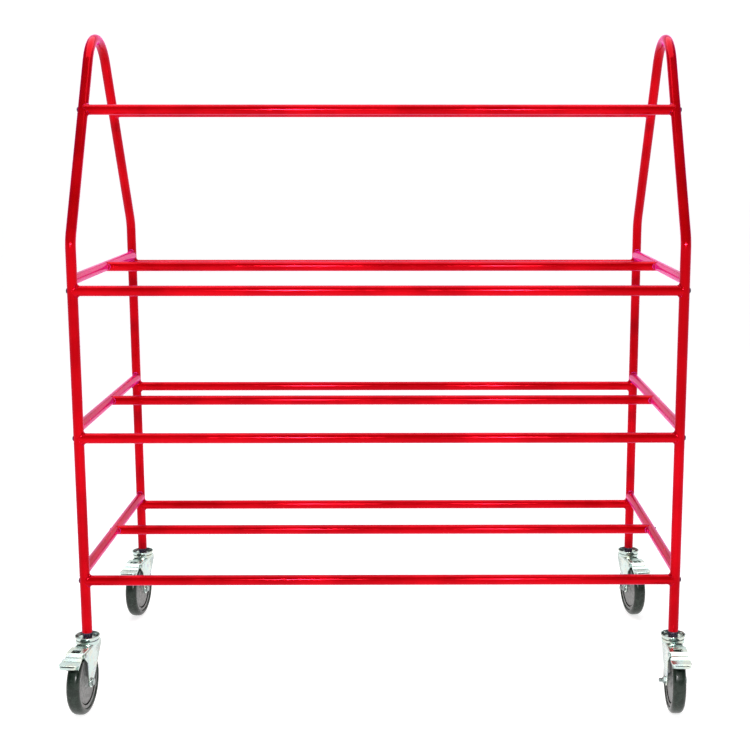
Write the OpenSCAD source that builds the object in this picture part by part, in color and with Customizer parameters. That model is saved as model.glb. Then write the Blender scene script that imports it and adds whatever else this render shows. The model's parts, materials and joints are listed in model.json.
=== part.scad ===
// Book cart: a tube frame that carries book tubs by their rims, on four braked swivel casters.
// X runs along the shelves, -Y is the side the brake pedals face, +Z is up, and Z = 0 is the floor.

/* [Frame] */
// Distance between the two end frames, tube axis to tube axis
frame_length = 1150; // [700:1:1500]
// Distance between the front and rear legs, tube axis to tube axis
frame_depth = 558; // [470:1:800]
// Height of the end frames, from the foot of a leg to the top of its arch
frame_height = 1160; // [1110:1:1450]
// Outside diameter of every tube
tube_d = 20; // [16:0.05:25.4]
// Wall of every tube
tube_wall = 2; // [1.5:0.1:2.5]
// Lean of the end frames above the shoulder; its sine and cosine are whole at six decimals, so tube ends meet
lean_angle = 30.50995; // [25:0.00001:35]
// Centreline radius of the shoulder bends
shoulder_radius = 60; // [40:1:90]
// Centreline radius of the bend at the top of the arch
apex_radius = 91; // [70:1:110]

/* [Shelves] */
// Height of the lowest long bars above the foot of the legs
first_level = 105; // [70:1:140]
// Height from one shelf to the next
level_gap = 283; // [220:1:290]
// Number of shelves
level_count = 3; // [3]
// Gap between a long bar and the cross tube that runs over its end
cross_gap = 0.5; // [0.4:0.1:5]
// Drop of the top pair of bars below the centreline of the arch
top_bar_drop = 142; // [110:0.5:180]
// Gap left at a coped tube end, where the weld or the saddle fills it
cope_gap = 0.05; // [0.02:0.01:0.1]

/* [Bar bolts] */
// Diameter of the bolts that hold the long bars
bolt_d = 6; // [5:0.5:8]
// Clearance round a bolt in the tube walls, on the radius
bolt_clearance = 0.3; // [0.1:0.05:0.5]
// Diameter of a bolt's low round head
bolt_head_d = 9.5; // [9:0.1:12]
// Height of a bolt's head
bolt_head_h = 2.2; // [1.8:0.1:3.5]
// Across flats of the hex key socket in a bolt's head
bolt_key = 3; // [2.5:0.1:4]
// Depth of the hex key socket
bolt_key_depth = 1.2; // [0.8:0.1:1.5]
// Length of the threaded plug in a bar's end
plug_length = 22; // [16:1:40]
// How deep the plug sits behind the bar's end
plug_inset = 3; // [1:0.5:10]
// Gap round pieces that are pushed or screwed into each other for good, on the radius
seat_gap = 0.05; // [0.02:0.01:0.1]

/* [Caster] */
// Diameter of the wheels
wheel_d = 127; // [100:1:152]
// Width of the tyre
wheel_w = 26; // [22:0.5:32]
// Distance of the axle in front of the swivel axis
trail = 36; // [31:0.5:38]
// Thickness of the tyre on the grey wheel core
tyre_t = 12; // [11.5:0.5:16]
// Width of the wheel core at its rim
core_w = 21; // [16:0.5:21]
// Depth of the hollow in each side of the wheel core
core_hollow = 2; // [1:0.5:4]
// Distance of the groove in each side of the wheel core from the core's edge
core_groove = 7.5; // [6:0.5:12]
// Diameter of the boss in the middle of the wheel core
core_boss_d = 30; // [24:1:36]
// Radius of the tyre's round shoulder
tyre_shoulder = 9; // [7:0.5:10]
// Diameter of the caster's stem
stem_d = 12; // [10:0.5:13]
// Length of the stem in the leg
stem_length = 44; // [30:1:60]
// Diameter of the stem's riveted lower head
rivet_d = 18; // [16:0.5:18]
// Height of the riveted lower head
rivet_h = 3.5; // [2.5:0.1:3.5]
// Across flats of the stem's hex collar
collar_af = 17; // [16:0.5:19]
// Height of the collar above the rim of the race dish, which shows as a dark neck
collar_rise = 6; // [4:0.5:9]
// Diameter of the flared race dish at its rim
dish_d = 49; // [47:0.5:54]
// Height of the race dish
dish_h = 8.4; // [6:0.1:9]
// Thickness of the race dish
dish_t = 1.8; // [1.5:0.1:2.2]
// Diameter of the lower race ring
ring_d = 45; // [43:0.5:46]
// Thickness of the lower race ring's wall
ring_wall = 3; // [2.5:0.1:4]
// Thickness of the lower race ring's floor
ring_floor = 1; // [0.8:0.1:1.5]
// Diameter of the balls in the swivel race
ball_d = 3.6; // [3.2:0.1:4.4]
// Number of balls in the swivel race
ball_count = 22; // [12:1:24]
// Running gap between the turning and the still parts of the swivel
swivel_gap = 0.3; // [0.3:0.05:0.5]
// Running clearance of every pivot, on the radius
pivot_clearance = 0.06; // [0.03:0.01:0.09]
// Thickness of the fork's sheet steel
fork_t = 2.5; // [2:0.1:3]
// Outside bend radius between the fork's crown and its cheeks
fork_bend = 4.5; // [3:0.5:6]
// Reach of the fork behind the swivel axis
fork_back = 27; // [24:1:30]
// Height of the crown's back edge
crown_back_h = 12.5; // [8:0.5:20]
// Where a cheek starts to narrow behind the swivel axis: distance from it, and drop below the crown
narrow_back = [14, 26]; // [8:1:30]
// Where a cheek starts to narrow in front of the axle: distance from it, and drop below the crown
narrow_front = [14, 23]; // [8:1:30]
// Distance of the crown plate's front edge behind the pedal's pivot
crown_setback = 22; // [18:1:26]
// Gap between the top of the wheel and the fork's crown
crown_gap = 2; // [1.8:0.1:6]
// Gap between the side of the tyre and the inside of a fork cheek
cheek_gap = 2; // [1.8:0.1:4]
// Diameter of the axle bolt
axle_d = 8; // [6:0.5:9]
// Across flats of the axle bolt's head and nut
axle_af = 13; // [12:0.5:15]
// Height of the axle bolt's head
axle_head_h = 5.3; // [4:0.1:6]
// Height of the axle nut
axle_nut_h = 6.5; // [5:0.1:8]
// Length of thread that stands out of the axle nut
thread_end = 7; // [1:0.5:8]
// Outside diameter of the spacer tube on the axle bolt
spacer_d = 12; // [11:0.5:14]
// Width of the boss at the foot of a fork cheek
axle_boss_d = 22; // [20:0.5:26]

/* [Brake] */
// Gap between the pedal's pivot pin and the tread
pin_gap = 0.5; // [0.4:0.1:2]
// Height of the pedal's pivot below the top of the fork's crown
pivot_drop = 6.5; // [6.5:0.1:7]
// Diameter of the pivot pin
pin_d = 5; // [4:0.1:5]
// Diameter of the pivot pin's heads
pin_head_d = 8; // [7:0.5:10]
// Height of the pivot pin's heads
pin_head_h = 1.2; // [1:0.1:2]
// Distance of the pedal's front edge from the swivel axis
pedal_reach = 116; // [112:1:126]
// Width of the pedal's lip
pedal_w = 37; // [34:0.5:42]
// Width of the pedal's step between the window and the lip
pedal_step_w = 31; // [28:0.5:34]
// Thickness of the pedal's sheet steel
pedal_t = 2.5; // [2:0.1:3]
// Length of the pedal's lip, up to its front edge
lip_l = 28; // [22:0.5:32]
// Drop of the pedal's step below its neck
step_drop = 5; // [3:0.5:7]
// Drop of the pedal's lip below its neck
lip_drop = 9; // [6:0.5:12]
// Corner radius of the pedal's lip
pedal_corner = 9; // [5:0.5:12]
// Outside radius of the pedal's turned-down front edge
pedal_roll = 5; // [4:0.5:6]
// Height of the flat part of the turned-down front edge
pedal_skirt = 2; // [1:0.5:4]
// Width of the window in the pedal
window_w = 17; // [12:0.5:18]
// Length of the window in the pedal
window_l = 16; // [12:0.5:16]
// Angle that the pedal tips to lock the wheel
brake_travel = 12; // [8:0.5:12]
// Gap left between the brake block and the tread when the brake is on
brake_gap = 0.35; // [0.3:0.05:0.6]
// Thickness of the brake block
block_t = 5; // [4:0.5:6]
// Width of the brake block
block_w = 21; // [16:0.5:22]

/* [Rest pose] */
// Heading of the front left caster, in degrees from straight ahead towards +X
heading_front_left = -6; // [-180:1:180]
// Heading of the front right caster
heading_front_right = -1.5; // [-180:1:180]
// Heading of the rear left caster
heading_rear_left = -7.5; // [-180:1:180]
// Heading of the rear right caster
heading_rear_right = 9; // [-180:1:180]

/* [Hidden] */
$fn = 64;
sides = ["left", "right"];
level_names = ["lower", "middle", "upper"];
bar_names = concat(level_names, ["top"]);
corners = ["front_left", "front_right", "rear_left", "rear_right"];
caster_pieces = ["stem", "race_dish", "swivel_bearing", "fork", "fasteners",
                 "wheel_core", "tyre", "brake_pedal", "brake_block"];
headings = [heading_front_left, heading_front_right, heading_rear_left, heading_rear_right];

// Colours
frame_red = [0.80, 0.02, 0.04];
zinc = [0.78, 0.82, 0.82];
dark_steel = [0.22, 0.10, 0.11];
bush_black = [0.10, 0.10, 0.11];
tyre_grey = [0.19, 0.21, 0.20];
core_grey = [0.62, 0.60, 0.63];

// The caster's stack, from the floor up
tube_r = tube_d / 2;
bore_r = tube_r - tube_wall;
wheel_r = wheel_d / 2;
core_r = wheel_r - tyre_t;
stem_r = stem_d / 2;
ring_r = ring_d / 2;
crown_z = wheel_d + crown_gap;
crown_top = crown_z + fork_t;
ball_rise = 0.2;
ring_top = crown_top + ring_floor + ball_d + ball_rise;
dish_z = ring_top + swivel_gap;
dish_rim = dish_z + dish_h;
foot_z = dish_rim + collar_rise;
ball_circle_r = ring_r - ring_wall - ball_d / 2 - seat_gap;

// The end frame's centreline, in its own Y-Z plane
half_depth = frame_depth / 2;
half_length = frame_length / 2;
apex_z = foot_z + frame_height - tube_r;
apex_centre_z = apex_z - apex_radius;
lean_start_y = half_depth - shoulder_radius * (1 - cos(lean_angle));
lean_run = (lean_start_y - apex_radius * cos(lean_angle)) / sin(lean_angle);
lean_start_z = apex_centre_z + apex_radius * sin(lean_angle) - lean_run * cos(lean_angle);
shoulder_z = lean_start_z - shoulder_radius * sin(lean_angle);

// Where the long bars lie: distance from the middle, and height
function level_z(i) = foot_z + first_level + i * level_gap;
cross_rise = tube_d + cross_gap;
top_bar_z = apex_z - top_bar_drop;
top_bar_y = lean_start_y - (top_bar_z - lean_start_z) * tan(lean_angle);
bar_end = half_length - tube_r - cope_gap;
leg_places = [for (i = [0 : level_count - 1]) [half_depth, level_z(i)]];
bolt_places = concat(
    [for (side = [-1, 1], p = leg_places) [side * p.x, p.y]],
    [[-top_bar_y, top_bar_z], [top_bar_y, top_bar_z]],
    [for (i = [0 : level_count - 1]) [0, level_z(i) + cross_rise]]);
bolt_length = tube_d + cope_gap + plug_inset + plug_length - bolt_d / 2;

// The fork and brake, by distance in front of the swivel axis (u) and height
cheek_in = wheel_w / 2 + cheek_gap;
cheek_out = cheek_in + fork_t;
axle_at = [trail, wheel_r];
pivot_z = crown_top - pivot_drop;
pivot_reach = trail + sqrt(pow(wheel_r + pin_gap + pin_d / 2, 2) - pow(pivot_z - wheel_r, 2));
pivot_at = [pivot_reach, pivot_z];
pedal_lift = 0.5;
horn_r = pivot_drop - pedal_lift;
crown_front = pivot_reach - crown_setback;
pedal_z = crown_top + pedal_lift;
ear_out = cheek_in - 0.3;
ear_in = ear_out - pedal_t;
block_span = [35, 58];
block_back_r = wheel_r + brake_gap + block_t;
neck_end = pivot_reach + 10;
step_start = neck_end + 8;
lip_start = pedal_reach - lip_l;
lip_z = pedal_z - lip_drop;
step_z = pedal_z - step_drop;

// ------------------------------------------------------------- helpers

// Puts an outline drawn in (u, height) across the caster, w wide about its middle plane
module across(w) {
    rotate([90, 0, -90]) linear_extrude(w, center = true) children();
}

// The same, on both sides between the distances near and far from the middle plane
module both_cheeks(near, far) {
    for (side = [-1, 1]) translate([side * (near + far) / 2, 0, 0]) across(far - near) children();
}

// Round bar or hole across the caster at the point p, from x = low to x = high
module cross_rod(p, d, low, high, sides = $fn) {
    translate([low, -p.x, p.y]) rotate([0, 90, 0]) cylinder(d = d, h = high - low, $fn = sides);
}

// Place of caster i, standing on the floor under its swivel axis
module caster_place(i) {
    translate([(i % 2 == 0 ? -1 : 1) * half_length, (i < 2 ? -1 : 1) * half_depth, 0])
        rotate([0, 0, headings[i]]) children();
}

// Point where the line from p touches the circle at c, on the side given by turn
function touch(p, c, r, turn) =
    let (v = p - c, a = atan2(v.y, v.x) + turn * acos(r / norm(v))) c + r * [cos(a), sin(a)];

// A point of the locked brake, turned back about the pivot to where it rests
function released(p) =
    let (v = p - pivot_at, c = cos(brake_travel), s = sin(brake_travel))
    pivot_at + [v.x * c - v.y * s, v.x * s + v.y * c];
function round_axle(r, a) = axle_at + r * [cos(a), sin(a)];

// ---------------------------------------------------------- tube frame

// A length of round tube along Z
module tube_length(length) {
    difference() {
        cylinder(r = tube_r, h = length);
        translate([0, 0, -1]) cylinder(r = bore_r, h = length + 2);
    }
}

// The part of a round tube bent about X that lies at y > 0 and z > 0
module tube_bend(radius) {
    intersection() {
        rotate([0, 90, 0]) rotate_extrude() translate([radius, 0]) difference() {
            circle(r = tube_r);
            circle(r = bore_r);
        }
        translate([-tube_d, 0, 0]) cube([2 * tube_d, radius + tube_d, radius + tube_d]);
    }
}

// Half of an end frame, from the foot of the rear leg to the middle of the arch
module half_arch() {
    leg = shoulder_z - foot_z;
    translate([0, half_depth - shoulder_radius, shoulder_z]) {
        translate([0, shoulder_radius, -leg]) tube_length(leg);
        difference() {
            tube_bend(shoulder_radius);
            rotate([lean_angle, 0, 0]) translate([-tube_d, 0, 0])
                cube(2 * [tube_d, frame_depth, frame_depth]);
        }
        rotate([lean_angle, 0, 0]) translate([0, shoulder_radius, 0]) tube_length(lean_run);
        difference() {
            rotate([lean_angle, 0, 0]) translate([0, shoulder_radius - apex_radius, lean_run])
                tube_bend(apex_radius);
            translate([-tube_d, -half_depth + shoulder_radius - frame_depth, 0])
                cube([2 * tube_d, frame_depth, frame_height]);
        }
    }
}

module end_frame(side) {
    color(frame_red) translate([side * half_length, 0, 0]) difference() {
        union() {
            half_arch();
            mirror([0, 1, 0]) half_arch();
        }
        for (p = bolt_places) if (p.x != 0) translate([0, p.x, p.y]) rotate([0, 90, 0])
            cylinder(r = bolt_d / 2 + bolt_clearance, h = 2 * tube_d, center = true);
    }
}

module cross_tube(side, level) {
    z = level_z(level) + cross_rise;
    color(frame_red) translate([side * half_length, 0, z]) difference() {
        rotate([90, 0, 0]) cylinder(r = tube_r, h = frame_depth, center = true);
        rotate([90, 0, 0]) cylinder(r = bore_r, h = frame_depth + 2, center = true);
        for (y = [-half_depth, half_depth]) translate([0, y, 0])
            cylinder(r = tube_r + cope_gap, h = 2 * tube_d, center = true);
        rotate([0, 90, 0]) cylinder(r = bolt_d / 2 + bolt_clearance, h = 2 * tube_d, center = true);
    }
}

// A long bar whose ends are coped round tubes that lie at the given turn about X
module long_bar(y, z, turn) {
    color(frame_red) translate([0, y, z]) difference() {
        rotate([0, 90, 0]) cylinder(r = tube_r, h = frame_length, center = true);
        rotate([0, 90, 0]) cylinder(r = bore_r, h = frame_length + 2, center = true);
        for (x = [-half_length, half_length]) translate([x, 0, 0]) rotate([turn, 0, 0])
            cylinder(r = tube_r + cope_gap, h = 3 * tube_d, center = true);
    }
}

module front_bar(level) { long_bar(-half_depth, level_z(level), 0); }
module rear_bar(level) { long_bar(half_depth, level_z(level), 0); }
module front_bar_top() { long_bar(-top_bar_y, top_bar_z, -lean_angle); }
module rear_bar_top() { long_bar(top_bar_y, top_bar_z, lean_angle); }
module centre_bar(level) { long_bar(0, level_z(level) + cross_rise, 90); }

module bar_plugs() {
    color(dark_steel) for (p = bolt_places, side = [0, 1]) mirror([side, 0, 0])
        translate([bar_end - plug_inset, p.x, p.y]) rotate([0, -90, 0]) difference() {
            cylinder(r = bore_r - seat_gap, h = plug_length);
            translate([0, 0, -1]) cylinder(r = bolt_d / 2 + seat_gap, h = plug_length + 2);
        }
}

// A bolt that points down, with the underside of its head at z = 0
module bar_bolt() {
    rim_h = 0.8;
    cap_h = bolt_head_h - rim_h;
    cap_r = (pow(bolt_head_d / 2, 2) + cap_h * cap_h) / (2 * cap_h);
    difference() {
        union() {
            translate([0, 0, -bolt_length]) cylinder(d = bolt_d, h = bolt_length);
            cylinder(d = bolt_head_d, h = rim_h);
            intersection() {
                translate([0, 0, bolt_head_h - cap_r]) sphere(r = cap_r);
                translate([0, 0, rim_h]) cylinder(d = bolt_head_d, h = bolt_head_h);
            }
        }
        translate([0, 0, bolt_head_h - bolt_key_depth])
            cylinder(d = bolt_key / cos(30), h = bolt_head_h, $fn = 6);
    }
}

module bar_bolts(side) {
    color(dark_steel) for (p = bolt_places)
        translate([side * (half_length + tube_r), p.x, p.y]) rotate([0, side * 90, 0]) bar_bolt();
}

module stem_sockets() {
    color(bush_black) for (i = [0 : 3]) caster_place(i) translate([0, 0, foot_z + seat_gap]) difference() {
        cylinder(r = bore_r - seat_gap, h = stem_length - 4);
        translate([0, 0, -1]) cylinder(r = stem_r + seat_gap, h = stem_length);
    }
}

// ------------------------------------------------------ caster, swivel head

module stem() {
    color(dark_steel) {
        translate([0, 0, crown_z - swivel_gap - rivet_h])
            cylinder(r = stem_r, h = foot_z + stem_length - crown_z + swivel_gap + rivet_h);
        translate([0, 0, crown_z - swivel_gap - rivet_h]) cylinder(d = rivet_d, h = rivet_h);
        translate([0, 0, dish_z + dish_t])
            cylinder(d = collar_af / cos(30), h = foot_z - seat_gap - dish_z - dish_t, $fn = 6);
    }
}

module race_dish() {
    flat_r = ring_r - 1;
    rim_r = dish_d / 2;
    rim_land = 1;
    color(zinc) translate([0, 0, dish_z]) rotate_extrude() polygon([
        [stem_r + seat_gap, 0], [flat_r, 0], [rim_r, dish_h - rim_land], [rim_r, dish_h],
        [rim_r - dish_t, dish_h], [flat_r - dish_t / 2, dish_t], [stem_r + seat_gap, dish_t]]);
}

module swivel_bearing() {
    inner_r = ball_circle_r - ball_d / 2 - ring_wall;
    wall_in = ring_r - ring_wall;
    ball_seat = 0.02;
    color(zinc) translate([0, 0, crown_top]) {
        rotate_extrude() polygon([
            [inner_r, 0], [ring_r, 0], [ring_r, ring_top - crown_top], [wall_in, ring_top - crown_top],
            [wall_in, ring_floor], [inner_r, ring_floor]]);
        for (i = [0 : ball_count - 1]) rotate([0, 0, i * 360 / ball_count])
            translate([ball_circle_r, 0, ring_floor + ball_seat + ball_d / 2]) sphere(d = ball_d);
    }
}

// ---------------------------------------------------------- caster, fork

// Side of the fork: crown, a horn forward to the pedal's pivot, and a cheek down to the axle
module fork_side() {
    boss_r = axle_boss_d / 2;
    back_bend = [-narrow_back.x, crown_z - narrow_back.y];
    front_bend = [trail + narrow_front.x, crown_z - narrow_front.y];
    crown_corner = [pivot_reach - horn_r, crown_top];
    polygon([
        [-fork_back, crown_top], [-fork_back, crown_top - crown_back_h], back_bend,
        touch(back_bend, axle_at, boss_r, 1),
        axle_at, touch(front_bend, axle_at, boss_r, -1), front_bend, touch(front_bend, pivot_at, horn_r, 1),
        pivot_at, [pivot_reach, pivot_at.y + horn_r], crown_corner]);
    translate(axle_at) circle(r = boss_r);
    translate(pivot_at) circle(r = horn_r);
}

// The fork's channel seen from the front, as a solid block out to r with round top corners
module channel(half_w, top, bend) {
    translate([-half_w, 0]) square([2 * half_w, top - bend]);
    translate([-half_w + bend, 0]) square([2 * (half_w - bend), top]);
    for (side = [-1, 1]) translate([side * (half_w - bend), top - bend]) circle(r = bend);
}

module fork() {
    reach = pivot_reach + horn_r + 1;
    color(zinc) difference() {
        union() {
            intersection() {
                across(3 * cheek_out) fork_side();
                translate([0, fork_back, 0]) rotate([90, 0, 0])
                    linear_extrude(fork_back + reach) difference() {
                        channel(cheek_out, crown_top, fork_bend);
                        channel(cheek_in, crown_z, fork_bend - fork_t);
                    }
            }
            translate([0, 0, crown_z]) cylinder(r = ring_r, h = fork_t);
        }
        translate([-cheek_in, -2 * reach, pivot_at.y - 2 * horn_r])
            cube([2 * cheek_in, 2 * reach - crown_front, 4 * horn_r]);
        translate([0, 0, crown_z - 1]) cylinder(r = stem_r + pivot_clearance, h = fork_t + 2);
        cross_rod(axle_at, axle_d + 2 * seat_gap, -2 * cheek_out, 2 * cheek_out);
        cross_rod(pivot_at, pin_d + 2 * seat_gap, -2 * cheek_out, 2 * cheek_out);
    }
}

module fasteners() {
    axle_low = -cheek_out - axle_nut_h - thread_end;
    color(zinc) {
        cross_rod(axle_at, axle_d, axle_low, cheek_out);
        cross_rod(axle_at, axle_af / cos(30), cheek_out, cheek_out + axle_head_h, 6);
        difference() {
            cross_rod(axle_at, axle_af / cos(30), -cheek_out - axle_nut_h, -cheek_out, 6);
            cross_rod(axle_at, axle_d + 2 * seat_gap, axle_low - 1, 0);
        }
        difference() {
            cross_rod(axle_at, spacer_d, seat_gap - cheek_in, cheek_in - seat_gap);
            cross_rod(axle_at, axle_d + 2 * seat_gap, -cheek_out, cheek_out);
        }
        cross_rod(pivot_at, pin_d, -cheek_out - pin_head_h, cheek_out + pin_head_h);
        for (low = [-cheek_out - pin_head_h, cheek_out])
            cross_rod(pivot_at, pin_head_d, low, low + pin_head_h);
    }
}

// --------------------------------------------------------- caster, wheel

// Turns an outline drawn in (radius, width) about the axle
module about_axle() {
    translate([0, -trail, wheel_r]) rotate([0, 90, 0]) rotate_extrude() children();
}

module wheel_core() {
    boss_half = cheek_in - 0.6;
    rim_half = core_w / 2;
    web_half = rim_half - core_hollow;
    boss_r = core_boss_d / 2;
    groove_r = core_r - core_groove;
    groove_half_w = 1;
    groove_floor = web_half - 2;
    outline = [[spacer_d / 2 + pivot_clearance, boss_half], [boss_r - 4, boss_half], [boss_r, web_half],
               [groove_r - groove_half_w, web_half], [groove_r - groove_half_w, groove_floor],
               [groove_r + groove_half_w, groove_floor], [groove_r + groove_half_w, rim_half],
               [core_r - 1, rim_half], [core_r, rim_half - 1]];
    last = len(outline) - 1;
    color(core_grey) about_axle() polygon(concat(
        outline, [for (i = [last : -1 : 0]) [outline[i].x, -outline[i].y]]));
}

module tyre() {
    bead_r = core_r + seat_gap;
    side_r = wheel_r - tyre_shoulder;
    tread_half = wheel_w / 2 - tyre_shoulder;
    bead_half = core_w / 2 - 0.5;
    color(tyre_grey) about_axle() {
        polygon([[bead_r, -bead_half], [bead_r + 1, -wheel_w / 2], [side_r, -wheel_w / 2],
                 [side_r, wheel_w / 2], [bead_r + 1, wheel_w / 2], [bead_r, bead_half]]);
        translate([side_r, -tread_half]) square([tyre_shoulder, 2 * tread_half]);
        intersection() {
            for (side = [-1, 1]) translate([side_r, side * tread_half]) circle(r = tyre_shoulder);
            translate([side_r, -wheel_w / 2]) square([tyre_shoulder, wheel_w]);
        }
    }
}

// --------------------------------------------------------- caster, brake

// Wedge of a ring round the axle, as the locked brake has it, turned back to where it rests
module released_sector(low_r, high_r, from, to) {
    translate(pivot_at) rotate(brake_travel) translate(-pivot_at) translate(axle_at) intersection() {
        difference() {
            circle(r = high_r);
            circle(r = low_r);
        }
        polygon([[0, 0], 2 * high_r * [cos(from), sin(from)], 2 * high_r * [cos(to), sin(to)]]);
    }
}

// Side of the pedal's plate: window stretch, step, lip and turned-down front edge
module pedal_side() {
    roll_at = [pedal_reach - pedal_roll, lip_z + pedal_t - pedal_roll];
    slope = 3;
    path = [[crown_front + 2, pedal_z], [neck_end, pedal_z], [step_start, step_z],
            [lip_start - slope, step_z], [lip_start + slope, lip_z], [roll_at.x, lip_z]];
    last = len(path) - 1;
    polygon(concat(path, [for (i = [last : -1 : 0]) path[i] + [0, pedal_t]]));
    intersection() {
        translate(roll_at) difference() {
            circle(r = pedal_roll);
            circle(r = pedal_roll - pedal_t);
        }
        translate(roll_at) square(pedal_roll);
    }
    translate([pedal_reach - pedal_t, roll_at.y - pedal_skirt]) square([pedal_t, pedal_skirt]);
}

// Plan of the pedal, drawn in (x, u): a straight neck and a broad lip with round corners
module pedal_plan() {
    neck_half = cheek_out - 0.2;
    lip_half = pedal_w / 2;
    back_corner = 3;
    lip_back = lip_start - 2;
    lip_run = pedal_reach - lip_back;
    translate([-neck_half, 0]) square([2 * neck_half, neck_end + 2]);
    translate([-pedal_step_w / 2, 0]) square([pedal_step_w, lip_start + 5]);
    for (x = [-1, 1]) {
        translate([x * (lip_half - pedal_corner), pedal_reach - pedal_corner]) circle(r = pedal_corner);
        translate([x * (lip_half - back_corner), lip_back + back_corner]) circle(r = back_corner);
    }
    translate([-lip_half, lip_back + back_corner])
        square([pedal_w, lip_run - pedal_corner - back_corner]);
    translate([-lip_half + pedal_corner, lip_back]) square([pedal_w - 2 * pedal_corner, lip_run]);
    translate([-lip_half + back_corner, lip_back]) square([pedal_w - 2 * back_corner, 2 * back_corner]);
}

// Side of one ear, from the plate down to the pivot and the web behind the brake block
module pedal_ear() {
    web_r = block_back_r + pedal_t;
    polygon([
        [pivot_reach - 8, pedal_z + 1], [neck_end, pedal_z + 1], [step_start + 2, step_z + 1],
        [lip_start - 6, step_z + 1], released(round_axle(web_r, block_span.x)),
        released(round_axle(block_back_r, block_span.x)), released(round_axle(block_back_r, block_span.y)),
        pivot_at + [3, -5], pivot_at + [-4, -4]]);
}

module brake_pedal() {
    color(zinc) difference() {
        union() {
            intersection() {
                across(2 * pedal_w) pedal_side();
                translate([0, 0, pedal_z - 20]) linear_extrude(40) mirror([0, 1]) pedal_plan();
            }
            both_cheeks(ear_in, ear_out) pedal_ear();
            across(2 * ear_out)
                released_sector(block_back_r, block_back_r + pedal_t, block_span.x, block_span.y);
        }
        translate([-window_w / 2, -pivot_reach + 6 - window_l, pedal_z - 1])
            cube([window_w, window_l, pedal_t + 2]);
        cross_rod(pivot_at, pin_d + 2 * pivot_clearance, -2 * cheek_out, 2 * cheek_out);
    }
}

module brake_block() {
    color(bush_black) across(block_w) released_sector(wheel_r + brake_gap, block_back_r - 0.02,
        block_span.x + 1, block_span.y - 1);
}

// --------------------------------------------------------------- nodes

for (s = [0, 1]) {
    side = s == 0 ? -1 : 1;
    end_frame(side);
    bar_bolts(side);
    for (i = [0 : level_count - 1])
        cross_tube(side, i);
}
for (i = [0 : level_count - 1]) {
    front_bar(i);
    rear_bar(i);
    centre_bar(i);
}
front_bar_top();
rear_bar_top();
bar_plugs();
stem_sockets();
for (i = [0 : 3]) {
    name = str("caster_", corners[i], "_");
    caster_place(i) stem();
    caster_place(i) race_dish();
    caster_place(i) swivel_bearing();
    caster_place(i) fork();
    caster_place(i) fasteners();
    caster_place(i) wheel_core();
    caster_place(i) tyre();
    caster_place(i) brake_pedal();
    caster_place(i) brake_block();
}
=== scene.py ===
import json
import math

import bpy
from mathutils import Matrix, Vector


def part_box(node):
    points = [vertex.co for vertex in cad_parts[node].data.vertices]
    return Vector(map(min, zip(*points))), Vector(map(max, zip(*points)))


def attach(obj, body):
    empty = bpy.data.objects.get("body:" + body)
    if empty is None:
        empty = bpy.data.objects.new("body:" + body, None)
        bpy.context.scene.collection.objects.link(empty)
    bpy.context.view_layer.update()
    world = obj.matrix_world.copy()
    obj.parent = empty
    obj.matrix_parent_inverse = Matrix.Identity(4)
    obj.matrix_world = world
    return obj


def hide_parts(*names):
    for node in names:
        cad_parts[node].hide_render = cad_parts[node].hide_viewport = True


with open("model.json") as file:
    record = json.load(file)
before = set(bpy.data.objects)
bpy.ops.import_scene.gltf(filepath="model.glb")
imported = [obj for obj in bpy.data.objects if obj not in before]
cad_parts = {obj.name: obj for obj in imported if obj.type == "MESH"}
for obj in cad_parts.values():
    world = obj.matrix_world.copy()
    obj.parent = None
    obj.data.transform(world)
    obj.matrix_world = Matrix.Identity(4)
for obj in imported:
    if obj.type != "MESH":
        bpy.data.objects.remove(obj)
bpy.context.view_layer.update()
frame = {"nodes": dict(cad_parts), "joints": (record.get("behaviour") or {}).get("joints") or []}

# ------------------------------------------------------------- end frames
# Each end of the cart is one length of 20 mm round steel tube bent over the top, with three
# short cross tubes welded between its legs. The frame is powder coated gloss red, which melts
# to a hard skin with a faint orange peel, and mirrors pink at a low angle.

# The sockets of a Mix node for colours: its share, its two colours, and what it gives out.
SHARE, FIRST, SECOND, MIXED = 0, 6, 7, 2


class Wire:
    """What one node of a finish gives out. A sum written with it lays down Math nodes."""

    def __init__(self, finish, socket):
        self.finish, self.socket = finish, socket

    def sum(self, operation, first, second):
        return self.finish.node("Math", {"operation": operation}, {0: first, 1: second})

    def __add__(self, other):
        return self.sum("ADD", self, other)

    __radd__ = __add__

    def __rsub__(self, other):
        return self.sum("SUBTRACT", other, self)

    def __mul__(self, other):
        return self.sum("MULTIPLY", self, other)

    __rmul__ = __mul__


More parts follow.
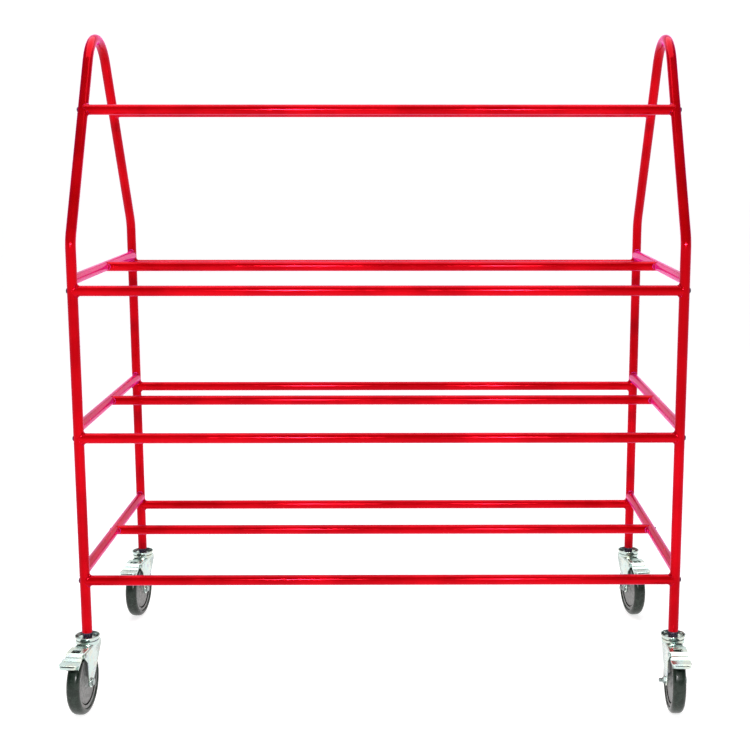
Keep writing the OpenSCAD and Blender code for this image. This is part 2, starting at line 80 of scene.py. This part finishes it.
class Finish:
    """One paint, plating, rubber or plastic: a material, and the nodes that give it detail.

    Fixed holds the shader's own values, the ones that are the same all over the surface.
    """

    def __init__(self, name, fixed):
        self.material = bpy.data.materials.new(name)
        self.material.use_nodes = True
        self.tree = self.material.node_tree
        self.shader = self.tree.nodes["Principled BSDF"]
        for socket, value in fixed.items():
            self.shader.inputs[socket].default_value = value
        self.place = self.node("TexCoord", {}, {}, "Object")

    def feed(self, socket, value):
        if isinstance(value, Wire):
            self.tree.links.new(value.socket, socket)
        else:
            socket.default_value = value

    def node(self, kind, settings, sockets, out=0):
        """Lays down a node of this kind and gives back the wire of its output number out."""
        made = self.tree.nodes.new("ShaderNode" + kind)
        for setting, value in settings.items():
            setattr(made, setting, value)
        for socket, value in sockets.items():
            self.feed(made.inputs[socket], value)
        return Wire(self, made.outputs[out])

    def noise(self, size, detail=2.0, where=None):
        """Soft noise from 0 to 1, in patches about size across."""
        sockets = {"Vector": where or self.place, "Scale": 1 / size, "Detail": detail}
        return self.node("TexNoise", {}, sockets)

    def drawn_out(self, scale):
        """The place on the piece, with each direction scaled, so that noise on it is drawn out."""
        return self.node("Mapping", {}, {"Vector": self.place, "Scale": scale})

    def above(self, value, low, high):
        """0 where value is under low, 1 where it is over high, and smooth between."""
        sockets = {"Value": value, "From Min": low, "From Max": high}
        return self.node("MapRange", {"interpolation_type": "SMOOTHSTEP"}, sockets)

    def mix(self, share, first, second):
        sockets = {SHARE: share, FIRST: first, SECOND: second}
        return self.node("Mix", {"data_type": "RGBA"}, sockets, MIXED)

    def done(self, color, roughness, height, depth):
        """Lays on the colour, the roughness, and the height as a relief, depth metres deep."""
        bump = self.node("Bump", {}, {"Height": height, "Distance": depth})
        for socket, value in (("Base Color", color), ("Roughness", roughness), ("Normal", bump)):
            self.feed(self.shader.inputs[socket], value)
        return self.material


def coat(piece, material):
    piece.data.materials.clear()
    piece.data.materials.append(material)


def gloss_red_powder():
    """Gloss red, a little duller where hands hold it, with peel in patches of 1.6 mm."""
    powder = Finish("gloss_red_powder", {
        "Metallic": 0.32, "Specular IOR Level": 0.14, "Specular Tint": (1.0, 0.2, 0.62, 1),
        "Sheen Weight": 0.75, "Sheen Roughness": 0.3, "Sheen Tint": (1.0, 0.05, 0.58, 1)})
    peel = powder.noise(0.0016)
    drift = powder.noise(0.11, 3.0)
    handled = powder.above(powder.noise(0.035, 6.0), 0.52, 0.74)
    deep, bright = (0.45, 0.0008, 0.0018, 1), (0.58, 0.0016, 0.0042, 1)
    color = powder.mix(powder.above(drift, 0.36, 0.64), deep, bright)
    roughness = 0.10 + 0.09 * handled + 0.03 * drift
    return powder.done(color, roughness, peel, 0.000008)


powder = gloss_red_powder()
levels = ("lower", "middle", "upper")
for side in ("left", "right"):
    for node in (f"end_frame_{side}", *(f"cross_tube_{side}_{level}" for level in levels)):
        coat(frame["nodes"][node], powder)

# -------------------------------------------------------------- long bars
# Eleven straight tubes join the two ends: a front, a centre and a rear one on each level, and
# the top pair. Their ends are coped to sit round the leg or the cross tube.
long_bars = [f"{row}_bar_{level}" for row in ("front", "rear", "centre") for level in levels]
long_bars += ["front_bar_top", "rear_bar_top"]
for node in long_bars:
    coat(frame["nodes"][node], powder)

# ------------------------------------------------------- welds and saddles
# Where one tube ends on another, a ring of weld metal, dressed to a hollow fillet, lies in the
# corner. It is deep above and below and runs out to nothing at the sides, where the two round
# tubes touch, and it is coated with the frame.

# Lengths are in metres: the paint stands proud by SKIN, and by CROWN more in mid-hollow.
TUBE_R = 0.010
FILLET = 0.0038
FILLET_AT_SIDES = 0.12
TURNS_OVER = 0.15
RIPPLE, RIPPLES, RIPPLE_START = 0.035, 11, 0.6
SKIN, CROWN, SUNK = 0.00006, 0.0001, 0.0009
RING_STEPS, RING_SIDES, BACK_SIDES = 120, 12, 5


def saddle():
    """The fillet of a tube that runs along +X from a tube that stands along Z.

    Going round the tube, each section has a hollow face from the bar to the leg, which stands
    proud of both by a skin of paint, and a back that is sunk in their steel.
    """
    bpy.ops.object.select_all(action="DESELECT")
    bpy.ops.mesh.primitive_torus_add(major_segments=RING_STEPS, minor_segments=RING_SIDES,
                                     major_radius=TUBE_R, minor_radius=FILLET / 4)
    ring = bpy.context.object
    face_sides = RING_SIDES - BACK_SIDES
    for vertex in ring.data.vertices:
        step, side = divmod(vertex.index, RING_SIDES)
        turn = math.tau * step / RING_STEPS
        up = math.sin(turn)
        lift = max(-1.0, min(1.0, up / TURNS_OVER))
        reach = FILLET * (FILLET_AT_SIDES + (1 - FILLET_AT_SIDES) * abs(up) ** 0.8)
        reach *= 1 + RIPPLE * math.sin(RIPPLES * turn + RIPPLE_START)
        out_bar = Vector((0, math.cos(turn), up))
        out_leg = Vector((abs(up), math.cos(turn), 0)).normalized()
        corner = Vector((TUBE_R * abs(up), TUBE_R * math.cos(turn), TUBE_R * up))
        to_bar, to_leg = Vector((reach, 0, 0)), Vector((0, 0, reach * lift))
        if side < face_sides:
            bend = math.pi / 2 * side / (face_sides - 1)
            proud = SKIN + CROWN * math.sin(2 * bend)
            place = corner + to_bar * (1 - math.sin(bend)) + to_leg * (1 - math.cos(bend))
            place += (out_bar + out_leg).normalized() * proud
        else:
            back = (side - face_sides + 1) / (BACK_SIDES + 1)
            outward = out_bar * (1 - back) + out_leg * back
            place = corner + to_leg * max(0, 2 * back - 1) + to_bar * max(0, 1 - 2 * back)
            place -= outward.normalized() * SUNK
        vertex.co = place
    bpy.ops.object.mode_set(mode="EDIT")
    bpy.ops.mesh.select_all(action="SELECT")
    bpy.ops.mesh.normals_make_consistent(inside=False)
    bpy.ops.object.mode_set(mode="OBJECT")
    bpy.ops.object.shade_smooth()
    return ring


def copied(model, name, move):
    """A copy of model with its own mesh, moved into place, its object left at the origin."""
    piece = bpy.data.objects.new(name, model.data.copy())
    bpy.context.scene.collection.objects.link(piece)
    piece.data.transform(move)
    return piece


def fixed(piece, body, slot, material):
    """Finishes a piece, and says what it rides on. The slot, which of the part's materials it is,
    is not used.
    """
    coat(piece, material)
    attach(piece, body)


def tube_joint(name, centre, along, up):
    """A saddle where a tube that runs along leaves another, whose line is up, at centre."""
    side = up.cross(along)
    move = Matrix((along, side, up)).transposed().to_4x4()
    move.translation = centre
    fixed(copied(model_saddle, name, move), "frame", "frame_paint", powder)


def middle(node):
    """The middle of a node's box."""
    low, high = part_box(node)
    return (low + high) / 2


model_saddle = saddle()
# The inclined runs lean in by this much from upright.
LEAN = math.radians(30.50995)
for side, out in (("left", -1), ("right", 1)):
    leg_x = middle(f"end_frame_{side}").x
    for node in long_bars:
        place = middle(node)
        tilt = {"centre": math.pi / 2, "top": LEAN if place.y > 0 else -LEAN}
        turn = next((tilt[word] for word in tilt if word in node), 0.0)
        up = Vector((0, -math.sin(turn), math.cos(turn)))
        tube_joint(f"saddle_{node}_{side}", (leg_x, place.y, place.z), Vector((-out, 0, 0)), up)
    for level in levels:
        tube = f"cross_tube_{side}_{level}"
        for row, toward in (("front", 1), ("rear", -1)):
            leg_y = middle(f"{row}_bar_{level}").y
            place = (leg_x, leg_y, middle(tube).z)
            tube_joint(f"weld_{tube}_{row}", place, Vector((0, toward, 0)), Vector((0, 0, 1)))
bpy.data.objects.remove(model_saddle)

# ------------------------------------------------- bar bolts and end plugs
# Low round-headed hex key screws go through each leg into a threaded plug in the bar's end.
# They are blackened steel, oiled, with the black rubbed thin round the head. The sockets that
# the casters screw into, in the feet of the legs, are moulded in black plastic.


def blackened_steel():
    steel = Finish("blackened_steel", {"Metallic": 0.85})
    rubbed = steel.above(steel.noise(0.0022, 5.0), 0.5, 0.72)
    color = steel.mix(rubbed, (0.05, 0.035, 0.065, 1), (0.26, 0.22, 0.30, 1))
    return steel.done(color, 0.34 + 0.2 * steel.noise(0.004, 4.0), steel.noise(0.0006), 0.00001)


def moulded_black():
    plastic = Finish("moulded_black", {"Specular IOR Level": 0.4})
    dark, light = (0.012, 0.012, 0.013, 1), (0.03, 0.03, 0.032, 1)
    color = plastic.mix(plastic.noise(0.004, 4.0), dark, light)
    return plastic.done(color, 0.5 + 0.15 * plastic.noise(0.002), plastic.noise(0.0005), 0.00001)


blackened = blackened_steel()
for node in ("bar_bolts_left", "bar_bolts_right", "bar_plugs"):
    coat(frame["nodes"][node], blackened)
coat(frame["nodes"]["stem_sockets"], moulded_black())

# ----------------------------------------------------------- caster places
# Four alike swivel casters stand under the legs. Each is modelled once, on the front left one,
# and copied to the others by where their axles lie.
corners = ("front_left", "front_right", "rear_left", "rear_right")
hinges = {joint["name"]: joint for joint in frame["joints"]}


def standing(corner):
    """Where a caster's own frame lies: its swivel axis on the floor, turned to its heading."""
    stem, axle = hinges[corner + "_swivel_turn"], hinges[corner + "_wheel_roll"]
    across = Vector(axle["axis"])
    move = Matrix.Rotation(math.atan2(across.y, across.x), 4, "Z")
    move.translation = (*stem["pos_m"][:2], 0)
    return move


def placed(model, word, part, slot, material, stands_for):
    """Copies a piece, modelled in a caster's own frame, to all four, where it rides on part."""
    pieces = {}
    for corner in corners:
        piece = copied(model, f"{word}_{corner}", standing(corner))
        body = "frame" if part == "frame" else f"{corner}_{part}"
        fixed(piece, body, slot, material)
        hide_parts(f"caster_{corner}_{stands_for}")
        pieces[corner] = piece
    bpy.data.objects.remove(model)
    return pieces


# Points of the front left caster in its own frame: the middle of its axle and of its pedal's pin.
home = standing("front_left").inverted()
axle_at, pivot_at = (home @ Vector(hinges[f"front_left_{turn}"]["pos_m"])
                     for turn in ("wheel_roll", "brake_tip"))


def softened(node, width, sides=2):
    """A caster's stamped part, in the caster's own frame, with sharp edges broken to width."""
    piece = copied(frame["nodes"]["caster_front_left_" + node], "model_" + node, home)
    bpy.ops.object.select_all(action="DESELECT")
    piece.select_set(True)
    bpy.context.view_layer.objects.active = piece
    bpy.ops.mesh.customdata_custom_splitnormals_clear()
    bpy.ops.object.mode_set(mode="EDIT")
    bpy.ops.mesh.select_all(action="SELECT")
    bpy.ops.mesh.remove_doubles(threshold=0.000002)
    bpy.ops.mesh.dissolve_limited(angle_limit=math.radians(0.6))
    bpy.ops.object.mode_set(mode="OBJECT")
    edge = piece.modifiers.new("broken_edges", "BEVEL")
    edge.width, edge.segments, edge.limit_method = width, sides, "ANGLE"
    edge.angle_limit, edge.use_clamp_overlap = math.radians(35), True
    bpy.ops.object.modifier_apply(modifier="broken_edges")
    bpy.ops.object.shade_smooth_by_angle(angle=math.radians(32))
    return piece


# Faces that meet at less than this are shaded as one.
SMOOTH_UNDER = math.radians(28)


def turned(outline, centre, steps=96):
    """A solid turned about the X line through centre. Its outline is (x, radius) in mm."""
    bpy.ops.object.select_all(action="DESELECT")
    bpy.ops.mesh.primitive_circle_add(vertices=len(outline), radius=0.01)
    piece = bpy.context.object
    for vertex, (x, radius) in zip(piece.data.vertices, outline):
        vertex.co = centre + Vector((x, 0, radius)) / 1000
    bpy.ops.object.mode_set(mode="EDIT")
    bpy.ops.mesh.select_all(action="SELECT")
    bpy.ops.mesh.spin(steps=steps, angle=math.tau, center=centre, axis=(1, 0, 0))
    bpy.ops.mesh.select_all(action="SELECT")
    bpy.ops.mesh.remove_doubles(threshold=0.000001)
    bpy.ops.mesh.delete_loose()
    bpy.ops.mesh.select_all(action="SELECT")
    bpy.ops.mesh.normals_make_consistent(inside=False)
    bpy.ops.object.mode_set(mode="OBJECT")
    bpy.ops.object.shade_smooth_by_angle(angle=SMOOTH_UNDER)
    return piece


def both_sides(half):
    """The whole outline of a turned part that is alike on both sides, from its +X side."""
    return half + [(-x, radius) for x, radius in reversed(half) if x]


def bright_zinc():
    """Bright plate in soft patches of mint, straw and mauve, with fine rubbed scratches."""
    zinc = Finish("bright_zinc", {"Metallic": 1.0})
    mint, straw, mauve = (0.55, 0.67, 0.63, 1), (0.60, 0.65, 0.57, 1), (0.42, 0.43, 0.54, 1)
    color = zinc.mix(zinc.above(zinc.noise(0.016, 3.0), 0.48, 0.62), mint, straw)
    color = zinc.mix(0.6 * zinc.above(zinc.noise(0.012, 2.0), 0.56, 0.72), color, mauve)
    scratches = zinc.above(zinc.noise(0.0009, 2.0, zinc.drawn_out((1.0, 0.1, 1.0))), 0.62, 0.78)
    roughness = 0.17 + 0.10 * zinc.noise(0.008, 3.0) + 0.12 * scratches
    return zinc.done(color, roughness, zinc.noise(0.0015, 2.0) + 0.3 * scratches, 0.000003)


zinc = bright_zinc()

# ------------------------------------------------------------ swivel heads
# The stem screws into the foot of the leg by its dark hex collar. Under it sit a flared dish
# and a ring pressed from sheet steel and plated bright zinc, with the balls between them.
placed(softened("stem", 0.0005), "stem", "frame", "dark_steel", blackened, "stem")
placed(softened("race_dish", 0.0004, 3), "race_dish", "frame", "zinc", zinc, "race_dish")
for corner in corners:
    coat(frame["nodes"][f"caster_{corner}_swivel_bearing"], zinc)

# ------------------------------------------------------------------- forks
# The fork is one blank of 2.5 mm steel folded into a crown and two cheeks, plated bright zinc.
# It turns under the race ring, and its cheeks come down to the axle behind the swivel's line.
placed(softened("fork", 0.0005), "fork", "swivel", "zinc", zinc, "fork")

# ---------------------------------------------------------- axle hardware
# A flanged M8 hex bolt runs through the cheeks and a spacer tube to a locknut, and a headed pin
# carries the pedal. All are steel with a dull zinc plate, greyer than the fork's.

# Sizes are in mm, along X from the middle of the wheel.
CHEEK_OUT = 17.5
ACROSS_FLATS = 13
HEX_CORNER = ACROSS_FLATS / 2 / math.cos(math.pi / 6)


def dull_zinc():
    plate = Finish("dull_zinc", {"Metallic": 1.0})
    color = plate.mix(plate.noise(0.003, 4.0), (0.24, 0.29, 0.29, 1), (0.46, 0.52, 0.50, 1))
    return plate.done(color, 0.24 + 0.2 * plate.noise(0.002, 3.0), plate.noise(0.0005), 0.00001)


def hex_shape(blank, low, high):
    """Cuts a turned blank to a hexagon between low and high along X, and leaves its chamfers."""
    bpy.ops.object.select_all(action="DESELECT")
    bpy.ops.mesh.primitive_cylinder_add(
        vertices=6, radius=HEX_CORNER / 1000, depth=(high - low) / 1000,
        location=axle_at + Vector(((low + high) / 2000, 0, 0)), rotation=(0, math.pi / 2, 0))
    hexagon = bpy.context.object
    cut = blank.modifiers.new("hexagon", "BOOLEAN")
    cut.object, cut.operation, cut.solver = hexagon, "INTERSECT", "EXACT"
    bpy.context.view_layer.objects.active = blank
    bpy.ops.object.modifier_apply(modifier="hexagon")
    bpy.data.objects.remove(hexagon)
    bpy.ops.object.select_all(action="DESELECT")
    blank.select_set(True)
    bpy.ops.object.shade_smooth_by_angle(angle=SMOOTH_UNDER)
    return blank


plate = dull_zinc()
HEAD, NUT, THREAD_END, PITCH, THREADS = 5.3, 6.5, 7.0, 1.25, 5
head_out, nut_out = CHEEK_OUT + HEAD, -CHEEK_OUT - NUT
head = [(head_out - 0.4, 0), (head_out, 0.4), (head_out, 5.6), (head_out - 0.7, 7.6),
        (CHEEK_OUT + 0.4, 7.6), (CHEEK_OUT + 0.4, 0)]
placed(hex_shape(turned(head, axle_at), CHEEK_OUT, head_out + 1), "axle_head", "swivel", "zinc",
       plate, "fasteners")
shank = [(head_out - 2, 0), (head_out - 2, 5.0), (CHEEK_OUT + 0.9, 8.0), (CHEEK_OUT, 8.2),
         (CHEEK_OUT, 4.0), (nut_out, 4.0)]
for ridge in range(THREADS):
    ridge_x = nut_out - 0.4 - ridge * PITCH
    shank += [(ridge_x, 4.0), (ridge_x - PITCH * 0.55, 3.45), (ridge_x - PITCH * 0.8, 3.95)]
bolt_end = nut_out - THREAD_END
shank += [(bolt_end + 0.3, 3.3), (bolt_end, 3.0), (bolt_end, 0)]
placed(turned(shank, axle_at), "axle_bolt", "swivel", "zinc", plate, "fasteners")
nut = [(-CHEEK_OUT, 4.1), (-CHEEK_OUT, 6.9), (-CHEEK_OUT - 0.5, 7.6), (nut_out + 2.0, 7.6),
       (nut_out + 1.3, 6.2), (nut_out + 0.3, 5.7), (nut_out, 5.2), (nut_out, 4.1)]
placed(hex_shape(turned(nut, axle_at), nut_out - 1, -CHEEK_OUT + 1), "axle_nut", "swivel", "zinc",
       plate, "fasteners")
spacer = both_sides([(14.9, 4.1), (14.9, 5.8), (14.7, 6.0)])
placed(turned(spacer, axle_at), "axle_spacer", "swivel", "zinc", plate, "fasteners")
pin = both_sides([(CHEEK_OUT + 1.2, 0), (CHEEK_OUT + 1.15, 1.8), (CHEEK_OUT + 0.8, 3.4),
                  (CHEEK_OUT + 0.3, 4.0), (CHEEK_OUT, 4.0), (CHEEK_OUT, 2.4)])
placed(turned(pin, pivot_at), "pedal_pin", "swivel", "zinc", plate, "fasteners")

# ------------------------------------------------------------ wheel cores
# The core is moulded in mottled grey polypropylene: a boss that turns on the spacer, a flat web,
# a groove painted near black as shade, and outside it a raised rim that the tyre is moulded round.

# The painted groove shade lies from the web's edge to the rim's, by radius, and no further out
# than the web.
SHADE_FROM, SHADE_TO, SHADE_SIDE = 42.3, 45.1, 8.9


def mottled_grey():
    core = Finish("mottled_grey", {"Specular IOR Level": 0.35})
    cloud = core.above(core.noise(0.0055, 5.0), 0.40, 0.62)
    fleck = core.above(core.noise(0.0018, 3.0), 0.55, 0.68)
    color = core.mix(cloud, (0.145, 0.15, 0.146, 1), (0.27, 0.278, 0.272, 1))
    color = core.mix(0.6 * fleck, color, (0.50, 0.50, 0.49, 1))
    return core.done(color, 0.42 + 0.15 * cloud, core.noise(0.001) + 0.5 * cloud, 0.00003)


# Near-black painted shade for the groove, standing in for the shade where light does not get in.
def painted_groove_shade():
    painted_shade = Finish("painted_groove_shade", {"Specular IOR Level": 0.1})
    color = painted_shade.mix(painted_shade.noise(0.004, 4.0), (0.008, 0.009, 0.008, 1), (0.035, 0.035, 0.032, 1))
    return painted_shade.done(color, 0.85 + 0.1 * painted_shade.noise(0.002), painted_shade.noise(0.0007), 0.00004)


boss = [(14.0, 6.15), (14.4, 6.7), (14.4, 10.6), (14.1, 11.1), (9.8, 14.0), (8.9, 15.0)]
web = [(8.5, 16.4), (8.5, 42.2), (8.2, 42.7)]
groove = [(6.5, 43.0), (6.5, 45.0), (9.9, 45.0)]
rim = [(10.3, 45.2), (10.5, 45.7), (10.5, 50.2), (10.2, 51.0), (9.4, 51.45)]
cores = placed(turned(both_sides(boss + web + groove + rim), axle_at), "wheel_core", "wheel",
               "core_plastic", mottled_grey(), "wheel_core")
# Each core gets a second material, the painted groove shade, on the faces inside its groove.
painted_shade = painted_groove_shade()
for corner, core in cores.items():
    core.data.materials.append(painted_shade)
    own_frame = standing(corner).inverted()
    for face in core.data.polygons:
        x, y, z = (own_frame @ face.center - axle_at) * 1000
        if SHADE_FROM < math.hypot(y, z) < SHADE_TO and abs(x) < SHADE_SIDE:
            face.material_index = 1

# ----------------------------------------------------------------- tyres
# The tyre is dark grey non-marking rubber, moulded on the core, with a round shoulder and a fine
# parting line round the middle of the tread.


def grey_rubber():
    rubber = Finish("grey_rubber", {"Specular IOR Level": 0.34})
    cloud = rubber.noise(0.012, 5.0)
    fleck = rubber.above(rubber.noise(0.0016, 4.0), 0.60, 0.74)
    dark, light = (0.007, 0.014, 0.009, 1), (0.019, 0.030, 0.022, 1)
    color = rubber.mix(rubber.above(cloud, 0.35, 0.65), dark, light)
    color = rubber.mix(0.4 * fleck, color, (0.11, 0.14, 0.12, 1))
    return rubber.done(color, 0.14 + 0.24 * cloud, rubber.noise(0.0008, 3.0), 0.00002)


# The shoulder is an arc about (SHOULDER_X, SHOULDER_HEIGHT), and the parting line stands proud.
SHOULDER_R, SHOULDER_X, SHOULDER_HEIGHT, SHOULDER_STEPS = 9, 4, 54.3, 10
parting_line = [(0.55, 63.3), (0.35, 63.5), (0, 63.5)]
shoulder = []
for step in reversed(range(SHOULDER_STEPS + 1)):
    bend = math.pi / 2 * step / SHOULDER_STEPS
    shoulder.append((SHOULDER_X + SHOULDER_R * math.sin(bend),
                     SHOULDER_HEIGHT + SHOULDER_R * math.cos(bend)))
bead = [(9.6, 51.55), (11.6, 51.9), (12.5, 52.5), (12.9, 53.4)]
placed(turned(both_sides(bead + shoulder + parting_line), axle_at, 128), "tyre", "wheel", "tyre",
       grey_rubber(), "tyre")

# ------------------------------------------------------------------ brakes
# The pedal is stamped, with a window and a broad turned-down lip, and tips about its pin until
# the black rubber block behind it is on the tread.


def black_rubber():
    rubber = Finish("black_rubber", {"Specular IOR Level": 0.35})
    dark, light = (0.008, 0.009, 0.010, 1), (0.028, 0.028, 0.030, 1)
    color = rubber.mix(rubber.noise(0.003, 4.0), dark, light)
    return rubber.done(color, 0.55 + 0.2 * rubber.noise(0.002), rubber.noise(0.0006), 0.00003)


placed(softened("brake_pedal", 0.0005), "brake_pedal", "pedal", "zinc", zinc, "brake_pedal")
placed(softened("brake_block", 0.0006), "brake_block", "pedal", "brake_rubber", black_rubber(),
       "brake_block")

# ----------------------------------------------------- floor, light, camera
# A white studio sweep: the floor curves up into the wall, two small lamps stand left and right
# of the camera, and a wide soft box hangs over the cart. The rest of the room is pale at the
# height of the floor and dark above, so that round metal shows a dark and a light side.
FLOOR_SIZE, WALL_HEIGHT, WALL_BEND = 12, 6, 2.5
sweep = Finish("white_sweep", {"Specular IOR Level": 0.05, "Emission Strength": 0.84,
                                "Emission Color": (0.93, 0.93, 0.93, 1)})
white = sweep.mix(sweep.noise(1.5), (0.50, 0.50, 0.505, 1), (0.53, 0.53, 0.53, 1))
sweep.done(white, 0.9 - 0.05 * sweep.noise(0.02), sweep.noise(0.003), 0.00002)
bpy.ops.object.select_all(action="DESELECT")
bpy.ops.mesh.primitive_plane_add(size=FLOOR_SIZE, location=(0, 0.5, 0))
floor = bpy.context.object
floor.name = "sweep_floor"
for part in (*floor.data.polygons, *floor.data.edges):
    part.select = False
for vertex in floor.data.vertices:
    vertex.select = vertex.co.y > 0
for edge in floor.data.edges:
    edge.select = all(floor.data.vertices[end].select for end in edge.vertices)
bpy.ops.object.mode_set(mode="EDIT")
bpy.ops.mesh.extrude_region_move(TRANSFORM_OT_translate={"value": (0, 0, WALL_HEIGHT)})
bpy.ops.object.mode_set(mode="OBJECT")
bend = floor.modifiers.new("bend", "BEVEL")
bend.width, bend.segments = WALL_BEND, 24
bpy.ops.object.modifier_apply(modifier="bend")
bpy.ops.object.shade_smooth()
bpy.ops.object.transform_apply()
coat(floor, sweep.material)

PALE, DARK = (0.86, 0.86, 0.87, 1), (0.05, 0.05, 0.055, 1)
PALE_UP_TO, DARK_FROM = 0.02, 0.24
world = bpy.data.worlds.new("studio")
bpy.context.scene.world = world
world.use_nodes = True
room, links = world.node_tree.nodes, world.node_tree.links
toward, split, rise, shade = (room.new("ShaderNode" + kind) for kind in (
    "TexCoord", "SeparateXYZ", "MapRange", "Mix"))
rise.inputs["From Min"].default_value = PALE_UP_TO
rise.inputs["From Max"].default_value = DARK_FROM
shade.data_type = "RGBA"
shade.inputs[FIRST].default_value, shade.inputs[SECOND].default_value = PALE, DARK
links.new(toward.outputs["Generated"], split.inputs["Vector"])
links.new(split.outputs["Z"], rise.inputs["Value"])
links.new(rise.outputs[0], shade.inputs[SHARE])
links.new(shade.outputs[MIXED], room["Background"].inputs["Color"])


def lamp(name, place, aim, width, height, watts):
    """A soft box that stands at place and points at aim."""
    light = bpy.data.lights.new(name, "AREA")
    light.shape, light.size, light.size_y, light.energy = "RECTANGLE", width, height, watts
    stand = bpy.data.objects.new(name, light)
    bpy.context.scene.collection.objects.link(stand)
    stand.location = place
    stand.rotation_euler = (Vector(aim) - Vector(place)).to_track_quat("-Z", "Y").to_euler()


cart_middle = (0, 0, 0.7)
lamp("lamp_left", (-0.375, -2.60, 1.42), cart_middle, 0.19, 0.12, 29)
lamp("lamp_right", (0.425, -2.60, 1.42), cart_middle, 0.12, 0.12, 20)
lamp("overhead", (0, 0.6, 3.2), (0, 0.2, 0), 3.5, 3.0, 88)

TILT_DOWN, TURN_RIGHT = math.radians(9.808), math.radians(0.341)
SENSOR, LENS = 36, 65.32
camera = bpy.data.objects.new("camera", bpy.data.cameras.new("camera"))
bpy.context.scene.collection.objects.link(camera)
camera.location = (0.06122, -2.82593, 1.10155)
camera.rotation_euler = (math.pi / 2 - TILT_DOWN, 0, -TURN_RIGHT)
camera.data.sensor_width, camera.data.lens, camera.data.shift_x = SENSOR, LENS, -0.0593
camera.data.clip_end = 50
bpy.context.scene.camera = camera
bpy.context.scene.view_settings.view_transform = "Standard"
